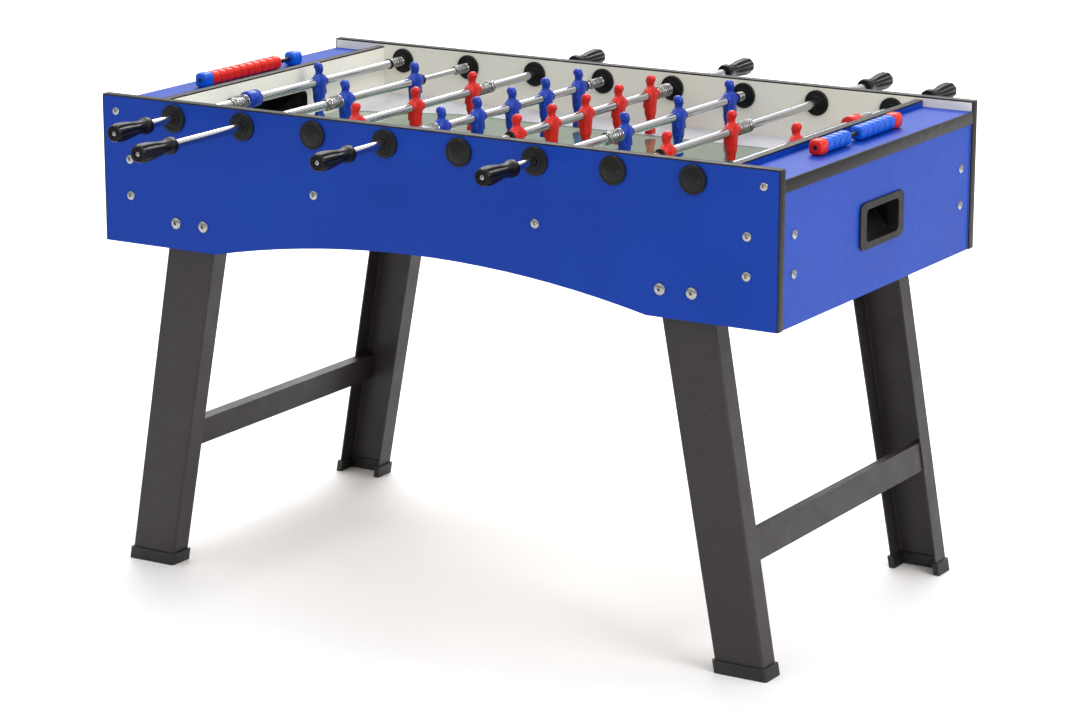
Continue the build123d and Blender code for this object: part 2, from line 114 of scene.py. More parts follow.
def soft_patches():
    """Two tones that drift into each other."""
    given_sockets = {"Tone A": ("Color", None), "Tone B": ("Color", None),
                     "Scale": ("Float", 6.0), "Stretch": ("Vector", (1, 1, 1))}
    tree, given, result = new_group("soft_patches", "ShaderNodeTree", given_sockets, {"Colour": "Color"})
    place = stretched_place(tree, given["Stretch"])
    mask = spread(tree, noise_at(tree, place, given["Scale"], 3.0), 0.32, 0.68)
    tree.links.new(mixed_colour(tree, mask, given["Tone A"], given["Tone B"]), result.inputs["Colour"])
    return tree


def fine_grain():
    """Fine relief, and a roughness that wanders between two values."""
    given_sockets = {"Scale": ("Float", 900.0), "Stretch": ("Vector", (1, 1, 1)),
                     "Low": ("Float", 0.3), "High": ("Float", 0.5)}
    tree, given, result = new_group("fine_grain", "ShaderNodeTree", given_sockets,
                                    {"Roughness": "Float", "Height": "Float"})
    place = stretched_place(tree, given["Stretch"])
    fine = noise_at(tree, place, given["Scale"], 2.0)
    broad = noise_at(tree, place, reckon(tree, "MULTIPLY", given["Scale"], 0.04), 2.0)
    rough = spread(tree, reckon(tree, "ADD", fine, broad), 0.7, 1.3, given["Low"], given["High"])
    tree.links.new(rough, result.inputs["Roughness"])
    tree.links.new(fine, result.inputs["Height"])
    return tree


def rubbed_edges():
    """Mask of the outer edges that hands and floors rub, broken up by noise."""
    given_sockets = {"Width": ("Float", 0.001), "Scale": ("Float", 150.0), "Amount": ("Float", 0.5)}
    tree, given, result = new_group("rubbed_edges", "ShaderNodeTree", given_sockets, {"Mask": "Float"})
    rounded = add_node(tree, "ShaderNodeBevel", {"Radius": given["Width"]}, samples=4)
    true_normal = add_node(tree, "ShaderNodeNewGeometry").outputs["Normal"]
    likeness = add_node(tree, "ShaderNodeVectorMath",
                        {0: rounded.outputs[0], 1: true_normal}, operation="DOT_PRODUCT")
    edge = spread(tree, likeness.outputs["Value"], 1.0, 0.75)
    place = add_node(tree, "ShaderNodeTexCoord").outputs["Object"]
    broken = spread(tree, noise_at(tree, place, given["Scale"], 3.0), 0.38, 0.62, 0.0, given["Amount"])
    mask = reckon(tree, "MULTIPLY", edge, broken, use_clamp=True)
    tree.links.new(mask, result.inputs["Mask"])
    return tree


def hairlines():
    """Mask of thin scratches that run in two directions."""
    tree, given, result = new_group("hairlines", "ShaderNodeTree",
                                    {"Scale": ("Float", 8.0), "Amount": ("Float", 0.3)}, {"Mask": "Float"})
    masks = []
    for stretch in ((1.0, 7.0, 30.0), (26.0, 1.0, 3.0)):
        noise = noise_at(tree, stretched_place(tree, stretch), given["Scale"], 1.0)
        near = reckon(tree, "ABSOLUTE", reckon(tree, "SUBTRACT", noise, 0.5))
        masks.append(spread(tree, near, 0.006, 0.0))
    amount = reckon(tree, "MULTIPLY", reckon(tree, "MAXIMUM", *masks), given["Amount"])
    tree.links.new(amount, result.inputs["Mask"])
    return tree


PATCHES = soft_patches()
GRAIN = fine_grain()
RUBBED = rubbed_edges()
HAIRLINES = hairlines()


def use_group(tree, group, inputs):
    """One use of a shared group in a material, with the material's own values."""
    made = tree.nodes.new("ShaderNodeGroup")
    made.node_tree = group
    for socket, value in inputs.items():
        made.inputs[socket].default_value = value
    return made


def finish(name, tones, patch, rough, grain, stretch=(1, 1, 1), rubbed=None, scratched=None, sockets=None):
    """Material with drifting tones and fine relief, and with rubbed edges and scratches if given."""
    made = bpy.data.materials.new(name)
    made.use_nodes = True
    tree = made.node_tree
    shader = tree.nodes["Principled BSDF"]
    for socket, value in (sockets or {}).items():
        shader.inputs[socket].default_value = value
    colour = use_group(tree, PATCHES, {"Tone A": tones[0], "Tone B": tones[1], "Scale": patch,
                                       "Stretch": stretch}).outputs["Colour"]
    if rubbed:
        bare, width, amount = rubbed
        mask = use_group(tree, RUBBED, {"Width": width, "Amount": amount}).outputs["Mask"]
        colour = mixed_colour(tree, mask, colour, bare)
    if scratched:
        pale, amount = scratched
        mask = use_group(tree, HAIRLINES, {"Amount": amount}).outputs["Mask"]
        colour = mixed_colour(tree, mask, colour, pale)
    tree.links.new(colour, shader.inputs["Base Color"])
    size, depth = grain
    relief = use_group(tree, GRAIN, {"Scale": size, "Stretch": stretch, "Low": rough[0], "High": rough[1]})
    tree.links.new(relief.outputs["Roughness"], shader.inputs["Roughness"])
    bump = add_node(tree, "ShaderNodeBump", {"Strength": 1.0, "Distance": depth,
                                             "Height": relief.outputs["Height"]})
    tree.links.new(bump.outputs[0], shader.inputs["Normal"])
    return made


def other_tones(made, vector, axis, limit, scale, tones):
    """Other tones where a coordinate's distance from zero along an axis is under a limit."""
    tree = made.node_tree
    base = tree.nodes["Principled BSDF"].inputs["Base Color"]
    usual = base.links[0].from_socket
    other = use_group(tree, PATCHES, {"Tone A": tones[0], "Tone B": tones[1],
                                      "Scale": scale}).outputs["Colour"]
    place = add_node(tree, "ShaderNodeTexCoord").outputs[vector]
    away = reckon(tree, "ABSOLUTE", add_node(tree, "ShaderNodeSeparateXYZ", {0: place}).outputs[axis])
    mask = reckon(tree, "GREATER_THAN", away, limit)
    tree.links.new(mixed_colour(tree, mask, other, usual), base)
    return made


def coat(node, material):
    """Puts a material on every slot of a CAD piece."""
    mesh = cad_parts[node].data
    if not mesh.materials:
        mesh.materials.append(material)
    for slot in range(len(mesh.materials)):
        mesh.materials[slot] = material


X_AXIS = 0
Y_AXIS = 1
BLUE = (srgb(5, 53, 149), srgb(8, 58, 157))
PALE = (srgb(228, 225, 213), srgb(233, 231, 220))
# near-black painted shade for the goal walls' faces across the wall, standing in for the shade inside the
# goal mouths
GOAL_MOUTH_SHADE = (srgb(26, 25, 24), srgb(36, 34, 32))
FACE = 0.0003            # a face counts as an inner one up to this far outside the inner plane
FACING = 0.7             # a face looks along an axis when its normal has this much of it
PALE_PATCH = 3.0
MOUTH_SHADE_PATCH = 30.0


def blue_laminate(name):
    return finish(name, BLUE, 5.0, (0.36, 0.46), (1100.0, 0.000008), scratched=(srgb(46, 84, 176), 0.12),
                  sockets={"Specular IOR Level": 0.16})


inner_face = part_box("playfield_glass")[1].y
end_inner_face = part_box("battens_and_posts")[1].x
goal_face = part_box("playfield_glass")[1].x
side_laminate = other_tones(blue_laminate("side_laminate"), "Object", Y_AXIS, inner_face + FACE,
                            PALE_PATCH, PALE)
coat("front_side_panel", side_laminate)
coat("rear_side_panel", side_laminate)
coat("end_panels", other_tones(blue_laminate("end_laminate"), "Object", X_AXIS, end_inner_face + FACE,
                               PALE_PATCH, PALE))
goal_laminate = other_tones(blue_laminate("goal_laminate"), "Object", X_AXIS, goal_face + FACE,
                            PALE_PATCH, PALE)
# faces across the goal walls, round the goal mouths, take the near-black painted shade
coat("goal_walls", other_tones(goal_laminate, "Normal", X_AXIS, FACING, MOUTH_SHADE_PATCH, GOAL_MOUTH_SHADE))
coat("shelves", blue_laminate("shelf_laminate"))

# ---- Edge trims ----------------------------------------------------------------------------------
# Black plastic trim, 3 mm thick, pressed onto the bare edges of the boards: along the tops of the
# side panels and goal walls, down the ends of the side panels and across the shelves' ends.


def bevelled_box(low, high, radius, segments=3):
    """Box between two corners with its edges rounded."""
    shape = bmesh.new()
    size = Vector(high) - Vector(low)
    middle = (Vector(high) + Vector(low)) / 2
    bmesh.ops.create_cube(shape, size=1.0, matrix=Matrix.Translation(middle) @ Matrix.Diagonal((*size, 1)))
    bmesh.ops.bevel(shape, geom=shape.edges[:], offset=radius, segments=segments, profile=0.5,
                    affect="EDGES")
    return shape


def as_mesh(shape):
    """Plain mesh of a bmesh, which is used up."""
    mesh = bpy.data.meshes.new("shape")
    shape.to_mesh(mesh)
    shape.free()
    return mesh


def piece(name, parts, body, stands_for, sharp=35.0):
    """One object made of (mesh, material, places) parts, riding on a body in place of CAD nodes."""
    whole = bmesh.new()
    materials = []
    for shape, material, places in parts:
        mesh = as_mesh(shape) if isinstance(shape, bmesh.types.BMesh) else shape
        if material not in materials:
            materials.append(material)
        for place in places:
            before = len(whole.verts)
            first_face = len(whole.faces)
            whole.from_mesh(mesh)
            whole.verts.ensure_lookup_table()
            whole.faces.ensure_lookup_table()
            bmesh.ops.transform(whole, matrix=place, verts=whole.verts[before:])
            for face in whole.faces[first_face:]:
                face.material_index = materials.index(material)
                face.smooth = True
    made = bpy.data.objects.new(name, as_mesh(whole))
    for material in materials:
        made.data.materials.append(material)
    made.data.set_sharp_from_angle(angle=math.radians(sharp))
    bpy.context.scene.collection.objects.link(made)
    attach(made, body)
    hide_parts(*stands_for)
    return made


HERE = [Matrix.Identity(4)]
TRIM_ROUND = 0.0009
black_trim = finish("black_trim", (srgb(16, 14, 12), srgb(23, 20, 18)), 9.0, (0.42, 0.56), (1500.0, 0.00001),
                    rubbed=(srgb(96, 90, 84), 0.0008, 0.5), sockets={"Specular IOR Level": 0.3})
trim_low, trim_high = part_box("edge_trims")
panel_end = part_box("end_panels")[1].x
shelf_low, shelf_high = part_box("shelves")
goal_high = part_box("goal_walls")[1]
panel_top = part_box("front_side_panel")[1].z
trim_boxes = []
for s in (-1, 1):
    trim_boxes.append(((trim_low.x, s * inner_face, panel_top),
                       (trim_high.x, s * trim_high.y, trim_high.z)))
    trim_boxes.append(((s * panel_end, -inner_face, shelf_low.z),
                       (s * trim_high.x, inner_face, shelf_high.z)))
    trim_boxes.append(((s * goal_face, -inner_face, goal_high.z),
                       (s * goal_high.x, inner_face, goal_high.z + trim_high.z - panel_top)))
    for t in (-1, 1):
        trim_boxes.append(((s * panel_end, t * inner_face, trim_low.z),
                           (s * trim_high.x, t * trim_high.y, panel_top)))
trim_parts = []
for corner, other in trim_boxes:
    low = [min(a, b) for a, b in zip(corner, other)]
    high = [max(a, b) for a, b in zip(corner, other)]
    trim_parts.append((bevelled_box(low, high, TRIM_ROUND, 2), black_trim, HERE))
piece("black_edge_trims", trim_parts, "cabinet", ["edge_trims"])

# ---- Playfield ----------------------------------------------------------------------------------
# Glass sheet printed green on its underside, on a particle board, with pale plastic ramps that
# roll the ball off the walls and corners. Softwood battens and posts carry it from below.

glass = finish("green_backed_glass", (srgb(74, 107, 86), srgb(83, 115, 94)), 4.0, (0.10, 0.17),
               (700.0, 0.000002), sockets={"Coat Weight": 1.0, "Coat Roughness": 0.03})
coat("playfield_glass", glass)
coat("field_ramps", finish("pale_ramp_plastic", (srgb(178, 178, 184), srgb(188, 187, 194)), 6.0,
                           (0.27, 0.33), (500.0, 0.000001)))
board_brown = finish("pressed_board", (srgb(150, 122, 92), srgb(178, 150, 116)), 160.0, (0.7, 0.85),
                     (900.0, 0.00008))
coat("playfield_board", board_brown)
coat("battens_and_posts", finish("softwood", (srgb(196, 160, 112), srgb(214, 182, 136)), 40.0, (0.55, 0.7),
                                 (500.0, 0.00006), stretch=(0.06, 1, 1)))

# ---- Ball outlets ----------------------------------------------------------------------------------
# Black moulded tray at each end: a frame round the opening, a sleeve through the end panel and a
# funnel that runs down from the goal mouth. Pushed in from outside, with a fine spark texture.

outlet_plastic = finish("outlet_plastic", (srgb(13, 13, 15), srgb(19, 19, 21)), 12.0, (0.42, 0.58),
                        (1400.0, 0.00003), rubbed=(srgb(70, 70, 72), 0.0012, 0.3),
                        sockets={"Specular IOR Level": 0.28})
coat("ball_outlets", outlet_plastic)

# ---- Bearings ------------------------------------------------------------------------------------
# Black nylon bearing for every rod end: a flange inside the cabinet and a hub with a sleeve
# outside, open where the handle's tube comes through and a closed cap where the bar stops.


def circle(radius, y, count):
    """Ring of points about the Y axis."""
    angles = [2 * math.pi * i / count for i in range(count)]
    return [(radius * math.sin(a), y, radius * math.cos(a)) for a in angles]


def skin(rings, closed=False):
    """Skin over rings of equally many points, its ends capped, or joined to each other if closed."""
    shape = bmesh.new()
    loops = [[shape.verts.new(p) for p in ring] for ring in rings]
    pairs = list(zip(loops, loops[1:]))
    if closed:
        pairs.append((loops[-1], loops[0]))
    for one, two in pairs:
        for i in range(len(one)):
            j = (i + 1) % len(one)
            shape.faces.new((one[i], one[j], two[j], two[i]))
    if not closed:
        shape.faces.new(loops[0])
        shape.faces.new(loops[-1])
    bmesh.ops.recalc_face_normals(shape, faces=shape.faces[:])
    return shape


def turned(profile, closed=False, count=48):
    """Turned shape about the Y axis from (radius, y) points."""
    return skin([circle(r, y, count) for r, y in profile], closed)


def rounded_ends(radius, start, end, chamfer):
    """Outline of a plain rod or ring, as (radius, y) points, with a chamfer at each end."""
    return [(radius - chamfer, start), (radius, start + chamfer), (radius, end - chamfer),
            (radius - chamfer, end)]


def span(node):
    """Lowest and highest Y of a rod's piece, measured along its own rod from the handle's side."""
    low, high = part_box(node)
    return (low.y, high.y) if side_of(node) < 0 else (-high.y, -low.y)


def side_of(node):
    """-1 for a rod whose handle is on the front, 1 for one on the rear."""
    low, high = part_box(node.rsplit("_", 1)[0] + "_handle")
    return -1 if low.y + high.y < 0 else 1


RODS = range(1, 9)
HALF_TURN = Matrix.Rotation(math.pi, 4, "Z")
TUBE_R = 0.008
BAR_R = 0.005
FIT = 0.0003             # clearance round a rod or a tube
BORE_LEAD = 0.0006       # chamfer where a bore opens
SLEEVE_R = 0.010
CENTRE_R = 0.0001        # smallest ring, where a face closes at its middle
rod_place = {}
for n in RODS:
    low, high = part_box(f"rod_{n}_bar")
    axis = Matrix.Translation(((low.x + high.x) / 2, 0, (low.z + high.z) / 2))
    rod_place[n] = axis if side_of(f"rod_{n}_bar") < 0 else axis @ HALF_TURN
bearing_black = finish("bearing_nylon", (srgb(9, 9, 10), srgb(15, 15, 16)), 30.0, (0.36, 0.52),
                       (1200.0, 0.00002), rubbed=(srgb(60, 60, 62), 0.0008, 0.3),
                       sockets={"Specular IOR Level": 0.25})

# outlines from the panel's face outwards, each point a radius and a height
flange_profile = [(0.0235, 0.0), (0.0235, 0.0028), (0.0226, 0.0038), (0.0208, 0.0045), (0.0202, 0.0043),
                  (0.0198, 0.0036), (0.0176, 0.0036), (0.0172, 0.0045), (0.0148, 0.0052), (0.0142, 0.0046),
                  (0.0132, 0.0046), (0.0130, 0.0064), (0.0124, 0.0077), (0.0114, 0.0080)]
hub_profile = [(0.0250, 0.0), (0.0250, 0.0034), (0.0245, 0.0045), (0.0234, 0.0050), (0.0190, 0.0050),
               (0.0184, 0.0044), (0.0150, 0.0044), (0.0144, 0.0050), (0.0131, 0.0050), (0.0130, 0.0068),
               (0.0124, 0.0075)]
cap_profile = [(0.0250, 0.0), (0.0250, 0.0034), (0.0245, 0.0045), (0.0234, 0.0050), (0.0212, 0.0050),
               (0.0206, 0.0046), (0.0200, 0.0046), (0.0194, 0.0050)]


def bored(profile, bore, through):
    """Bearing half along -Y, with its bore running back through the panel by a length."""
    top = profile[-1][1]
    points = [(r, -h) for r, h in profile]
    points += [(bore + BORE_LEAD, -top), (bore, -top + BORE_LEAD), (bore, through)]
    if through:
        points += [(SLEEVE_R, through), (SLEEVE_R, 0.0)]
    return turned(points, closed=True)


panel_t = trim_high.y - inner_face
outer_parts = []
inner_parts = []
for n in RODS:
    near = rod_place[n] @ Matrix.Translation((0, -trim_high.y, 0))
    far = rod_place[n] @ HALF_TURN @ Matrix.Translation((0, -trim_high.y, 0))
    near_inside = rod_place[n] @ Matrix.Translation((0, -inner_face, 0)) @ HALF_TURN
    far_inside = rod_place[n] @ Matrix.Translation((0, inner_face, 0))
    outer_parts.append((bored(hub_profile, TUBE_R + FIT, panel_t), bearing_black, [near]))
    cap = turned([(r, -h) for r, h in cap_profile] + [(CENTRE_R, -cap_profile[-1][1])])
    outer_parts.append((cap, bearing_black, [far]))
    for inside, bore in ((near_inside, TUBE_R + FIT), (far_inside, BAR_R + FIT)):
        inner_parts.append((bored(flange_profile, bore, 0.0), bearing_black, [inside]))
piece("nylon_bearings_outside", outer_parts, "cabinet", ["outer_bearings"])
piece("nylon_bearings_inside", inner_parts, "cabinet", ["inner_bearings"])

# ---- Screws and bolts --------------------------------------------------------------------------
# Zinc-plated cross-head screws hold the boards, domed bolts with nuts hold the legs, and small
# black screws hold the closed bearing caps. Each is put where the cabinet has its hole.

NUT_SHAPE = 1.2          # a nut's length and width differ by less than this ratio


def solids(node):
    """Lowest and highest corner of each loose solid of a CAD piece."""
    copy = bmesh.new()
    copy.from_mesh(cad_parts[node].data)
    bmesh.ops.remove_doubles(copy, verts=copy.verts[:], dist=1e-6)
    boxes = []
    left = set(copy.verts)
    while left:
        reached = [left.pop()]
        for vert in reached:
            for edge in vert.link_edges:
                other = edge.other_vert(vert)
                if other in left:
                    left.remove(other)
                    reached.append(other)
        places = [v.co for v in reached]
        boxes.append((Vector(map(min, *places)), Vector(map(max, *places))))
    copy.free()
    return sorted(boxes, key=lambda box: tuple(round(v, 4) for v in box[0]))


def fasteners(node, nuts=False):
    """(middle of the outer end, way it faces, diameter) of each of a node's screws, or of its nuts."""
    found = []
    for low, high in solids(node):
        size = high - low
        if (max(size.x, size.y) > NUT_SHAPE * size.z) == nuts:
            continue
        middle = (low + high) / 2
        along = X_AXIS if size.x > size.y and not nuts else Y_AXIS
        facing = Vector((0, 0, 0))
        facing[along] = math.copysign(1, middle[along])
        seat = middle.copy()
        seat[along] = high[along] if facing[along] > 0 else low[along]
        found.append((seat, facing, size.z))
    return found


def evaluated_mesh(holder):
    """Plain mesh of an object with its modifiers, which is then removed."""
    bpy.context.view_layer.update()
    mesh = bpy.data.meshes.new_from_object(holder.evaluated_get(bpy.context.evaluated_depsgraph_get()))
    bpy.data.objects.remove(holder)
    return mesh


def hold(mesh, name="holder"):
    """Object that holds a mesh while modifiers work on it."""
    made = bpy.data.objects.new(name, mesh)
    bpy.context.scene.collection.objects.link(made)
    return made


def grown(tree, mesh, values):
    """Plain mesh that a geometry node tree makes from a mesh and named values."""
    holder = hold(mesh)
    modifier = holder.modifiers.new("grow", "NODES")
    modifier.node_group = tree
    names = {item.name: item.identifier for item in tree.interface.items_tree if item.in_out == "INPUT"}
    for label, value in values.items():
        modifier[names[label]] = value
    return evaluated_mesh(holder)


def give_out(tree, result, shape, material):
    """Ends a geometry node tree: real copies of the shape in one material."""
    real = add_node(tree, "GeometryNodeRealizeInstances", {0: shape})
    painted = add_node(tree, "GeometryNodeSetMaterial", {"Geometry": real.outputs[0], "Material": material})
    tree.links.new(painted.outputs[0], result.inputs["Geometry"])
    return tree


def heads_on_points():
    """One shape on every point, its Z axis turned to the point's own direction, spun at random."""
    given_sockets = {"Points": ("Geometry", None), "Shape": ("Object", None), "Seed": ("Int", 1),
                     "Material": ("Material", None)}
    tree, given, result = new_group("heads_on_points", "GeometryNodeTree", given_sockets,
                                    {"Geometry": "Geometry"})
    facing = add_node(tree, "GeometryNodeInputNamedAttribute", {"Name": "facing"}, data_type="FLOAT_VECTOR")
    aligned = add_node(tree, "FunctionNodeAlignRotationToVector", {"Vector": facing.outputs[0]}, axis="Z")
    angle = add_node(tree, "FunctionNodeRandomValue", {2: 0.0, 3: math.pi, 8: given["Seed"]},
                     data_type="FLOAT")
    spin = add_node(tree, "FunctionNodeAxisAngleToRotation", {0: (0.0, 0.0, 1.0), 1: angle.outputs[1]})
    turned_to = add_node(tree, "FunctionNodeRotateRotation", {0: aligned.outputs[0], 1: spin.outputs[0]},
                         rotation_space="LOCAL")
    shape = add_node(tree, "GeometryNodeObjectInfo", {0: given["Shape"]})
    placed = add_node(tree, "GeometryNodeInstanceOnPoints",
                      {"Points": given["Points"], "Instance": shape.outputs["Geometry"],
                       "Rotation": turned_to.outputs[0]})
    return give_out(tree, result, placed.outputs[0], given["Material"])


def cut_from(holder, tool, crossing=False):
    """Plain mesh of an object with a closed tool cut from it; crossing if the tool's bars cross."""
    cutter = hold(as_mesh(tool), "cutter")
    cut = holder.modifiers.new("cut", "BOOLEAN")
    cut.operation = "DIFFERENCE"
    cut.object = cutter
    cut.use_self = crossing
    mesh = evaluated_mesh(holder)
    bpy.data.objects.remove(cutter)
    return mesh


CROSS_TIP = 0.45         # the cross tapers to this share of its reach
CROSS_TIP_WIDTH = 0.7    # and of its width
CROSS_WIDTH = 0.3        # of the head's radius
CROSS_DEPTH = 0.85       # of the head's height
DOME_FOOT = 0.25         # share of the head's height below its dome
DOME_ANGLES = (90, 72, 54, 36, 18, 3)
SHANK_TIP = 0.3          # share of the shank's radius left at its tip


def cross_cutter(reach, width, depth, top):
    """Tapered cross that cuts a screw's recess down from a height."""
    shape = bmesh.new()
    for turn in (0, math.pi / 2):
        bar = bmesh.ops.create_cube(shape, size=1.0)["verts"]
        for vert in bar:
            low_end = vert.co.z < 0
            vert.co.x *= 2 * reach * (CROSS_TIP if low_end else 1.0)
            vert.co.y *= width * (CROSS_TIP_WIDTH if low_end else 1.0)
            vert.co.z = top - depth if low_end else top + depth
        bmesh.ops.rotate(shape, verts=bar, matrix=Matrix.Rotation(turn, 3, "Z"))
    return shape


def cross_head(radius, height, shank, length, recess):
    """Screw along Z: a domed head with a cross recess above the plane z = 0, and a shank below it."""
    dome = [(radius * math.sin(a), height * (DOME_FOOT + (1 - DOME_FOOT) * math.cos(a)))
            for a in map(math.radians, DOME_ANGLES)]
    shank_profile = [(shank * SHANK_TIP, -length), (shank, -length + 2 * shank), (shank, 0.0)]
    head = turned(shank_profile + [(radius, 0.0)] + dome, count=28)
    bmesh.ops.rotate(head, verts=head.verts[:], matrix=Matrix.Rotation(math.pi / 2, 3, "X"))
    bmesh.ops.recalc_face_normals(head, faces=head.faces[:])
    cross = cross_cutter(recess * radius, CROSS_WIDTH * radius, CROSS_DEPTH * height, height)
    return cut_from(hold(as_mesh(head)), cross, crossing=True)


def points_mesh(places):
    """Loose points that keep the way each faces."""
    mesh = bpy.data.meshes.new("points")
    mesh.from_pydata([seat for seat, facing, _ in places], [], [])
    directions = mesh.attributes.new("facing", "FLOAT_VECTOR", "POINT")
    directions.data.foreach_set("vector", [v for _, facing, _ in places for v in facing])
    return mesh


HEADS = heads_on_points()
zinc = finish("zinc_plate", (srgb(152, 156, 162), srgb(178, 175, 166)), 220.0, (0.16, 0.3),
              (1600.0, 0.00001), sockets={"Metallic": 1.0})
black_steel = finish("blacked_steel", (srgb(28, 28, 30), srgb(40, 40, 42)), 200.0, (0.35, 0.5),
                     (1500.0, 0.00001), sockets={"Metallic": 0.6})


def screwed_in(name, node, material, sizes, seed, extra=()):
    """A node's screws as one piece, by size: largest head diameter, height, shank, length, recess."""
    parts = list(extra)
    places = fasteners(node)
    smaller = 0.0
    for top_size, height, shank, length, recess in sizes:
        chosen = [p for p in places if smaller < p[2] <= top_size]
        smaller = top_size
        shape = hold(cross_head(chosen[0][2] / 2, height, shank, length, recess), "screw")
        seats = [(seat - facing * height, facing, size) for seat, facing, size in chosen]
        made = grown(HEADS, points_mesh(seats), {"Shape": shape, "Seed": seed, "Material": material})
        bpy.data.objects.remove(shape)
        parts.append((made, material, HERE))
    return piece(name, parts, "cabinet", [node], sharp=30.0)


PANEL_SCREWS = ((0.0150, 0.0025, 0.0025, 0.046, 0.58), (0.0170, 0.0030, 0.0030, 0.046, 0.58))
CAP_SCREWS = ((0.0080, 0.0012, 0.0015, 0.016, 0.6),)
LEG_BOLTS = ((0.0220, 0.0045, 0.0040, 0.032, 0.46),)
screwed_in("cross_head_panel_screws", "panel_screws", zinc, PANEL_SCREWS, seed=3)
screwed_in("bearing_cap_screws", "bearing_screws", black_steel, CAP_SCREWS, seed=5)
NUT_R = 0.0075
NUT_T = 0.0065
NUT_ROUND = 0.0005
nut_parts = []
for seat, facing, size in fasteners("leg_bolts", nuts=True):
    nut = bmesh.new()
    bmesh.ops.create_circle(nut, cap_ends=True, radius=NUT_R, segments=6)
    raised = bmesh.ops.extrude_face_region(nut, geom=nut.faces[:])
    bmesh.ops.translate(nut, vec=(0, 0, NUT_T),
                        verts=[g for g in raised["geom"] if isinstance(g, bmesh.types.BMVert)])
    bmesh.ops.bevel(nut, geom=nut.edges[:], offset=NUT_ROUND, segments=2, profile=0.5, affect="EDGES")
    bmesh.ops.recalc_face_normals(nut, faces=nut.faces[:])
    lie = Vector((0, 0, -1)).rotation_difference(facing).to_matrix().to_4x4()
    nut_parts.append((nut, zinc, [Matrix.Translation(seat) @ lie]))
screwed_in("domed_leg_bolts", "leg_bolts", zinc, LEG_BOLTS, seed=7, extra=nut_parts)

# ---- Legs ------------------------------------------------------------------------------------------
# Splayed channels folded from 3 mm steel sheet, with square-tube stretchers welded between them,
# in a dark hammered powder coat. Black plastic shoes are pushed on at the floor.

powder_coat = finish("hammered_powder_coat", (srgb(43, 38, 41), srgb(53, 48, 51)), 420.0, (0.36, 0.54),
                     (520.0, 0.00010), rubbed=(srgb(130, 126, 124), 0.0012, 0.35),
                     sockets={"Metallic": 0.1, "Specular IOR Level": 0.35})
for corner in ("front_left", "front_right", "rear_left", "rear_right"):
    coat(f"{corner}_leg", powder_coat)
coat("stretchers", powder_coat)
coat("leg_shoes", finish("shoe_plastic", (srgb(13, 13, 13), srgb(22, 21, 21)), 45.0, (0.45, 0.65),
                         (900.0, 0.00004), rubbed=(srgb(104, 100, 96), 0.0015, 0.6)))

# ---- Score counters -------------------------------------------------------------------------------
# A black steel bar on each shelf between two end blocks in one team's colour, with ten beads in
# the other team's colour that slide along it, one for each goal. Glossy moulded plastic.


def rounded_square(width, height, radius, y, count=5):
    """Ring of points round a rounded rectangle square to Y."""
    points = []
    for k, (sx, sz) in enumerate(((1, 1), (-1, 1), (-1, -1), (1, -1))):
        for i in range(count + 1):
            a = math.pi / 2 * (k + i / count)
            points.append((sx * (width / 2 - radius) + radius * math.cos(a), y,
                           sz * (height / 2 - radius) + radius * math.sin(a)))
    return points


SOFT_END = ((1.0, 0.0), (0.5, 0.15), (0.15, 0.5), (0.0, 1.0))     # how far in, how far along


def bead_shape(size, bore, radius, soften):
    """Rounded block along Y with a bore, its two ends softened."""
    width, length, height = size
    rings = [(shrink * soften, -length / 2 + into * soften) for shrink, into in SOFT_END]
    rings += [(shrink, -y) for shrink, y in reversed(rings)]
    skins = [rounded_square(width - 2 * s, height - 2 * s, radius - 0.5 * s, y) for s, y in rings]
    angles = [math.atan2(p[2], p[0]) for p in skins[0]]
    for y in (length / 2, -length / 2):
        skins.append([(bore * math.cos(a), y, bore * math.sin(a)) for a in angles])
    return skin(skins, closed=True)


def beads_on_bar():
    """A row of one shape at even steps along Y."""
    given_sockets = {"Base": ("Geometry", None), "Shape": ("Object", None), "Count": ("Int", 10),
                     "Pitch": ("Float", 0.02), "Material": ("Material", None)}
    tree, given, result = new_group("beads_on_bar", "GeometryNodeTree", given_sockets,
                                    {"Geometry": "Geometry"})
    step = add_node(tree, "ShaderNodeCombineXYZ", {1: given["Pitch"]})
    line = add_node(tree, "GeometryNodeMeshLine", {"Count": given["Count"], "Offset": step.outputs[0]})
    shape = add_node(tree, "GeometryNodeObjectInfo", {0: given["Shape"]})
    placed = add_node(tree, "GeometryNodeInstanceOnPoints",
                      {"Points": line.outputs[0], "Instance": shape.outputs["Geometry"]})
    return give_out(tree, result, placed.outputs[0], given["Material"])


BEADS = beads_on_bar()
END_TUCK = 0.010         # the bar and its end blocks stop this far short of the CAD's
BEAD_ROUND = (0.0088, 0.0046)
BLOCK_ROUND = (0.0085, 0.0050)
BEAD_LENGTH = 0.0213
BEAD_PITCH = 0.0215
SCORER_R = 0.004
BEAD_RUN = 0.0002
BAR_CHAMFER = 0.0005
GLOSS = {"Specular IOR Level": 0.25, "Coat Weight": 0.16, "Coat Roughness": 0.08}
counter_blue = finish("counter_blue", (srgb(6, 78, 190), srgb(12, 90, 202)), 60.0, (0.22, 0.32),
                      (900.0, 0.00001), sockets=GLOSS)
counter_red = finish("counter_red", (srgb(204, 28, 12), srgb(216, 38, 18)), 60.0, (0.22, 0.32),
                     (900.0, 0.00001), sockets=GLOSS)


def row_of_beads(name, node, body, material):
    low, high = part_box(node)
    size = (high.x - low.x, BEAD_LENGTH, high.z - low.z)
    count = round((high.y - low.y) / BEAD_PITCH)
    shape = hold(as_mesh(bead_shape(size, SCORER_R + BEAD_RUN, *BEAD_ROUND)), "bead")
    made = grown(BEADS, bpy.data.meshes.new("base"),
                 {"Shape": shape, "Count": count, "Pitch": BEAD_PITCH, "Material": material})
    bpy.data.objects.remove(shape)
    start = Matrix.Translation(((low.x + high.x) / 2, low.y + BEAD_LENGTH / 2, (low.z + high.z) / 2))
    piece(name, [(made, material, [start])], body, [node], sharp=50.0)


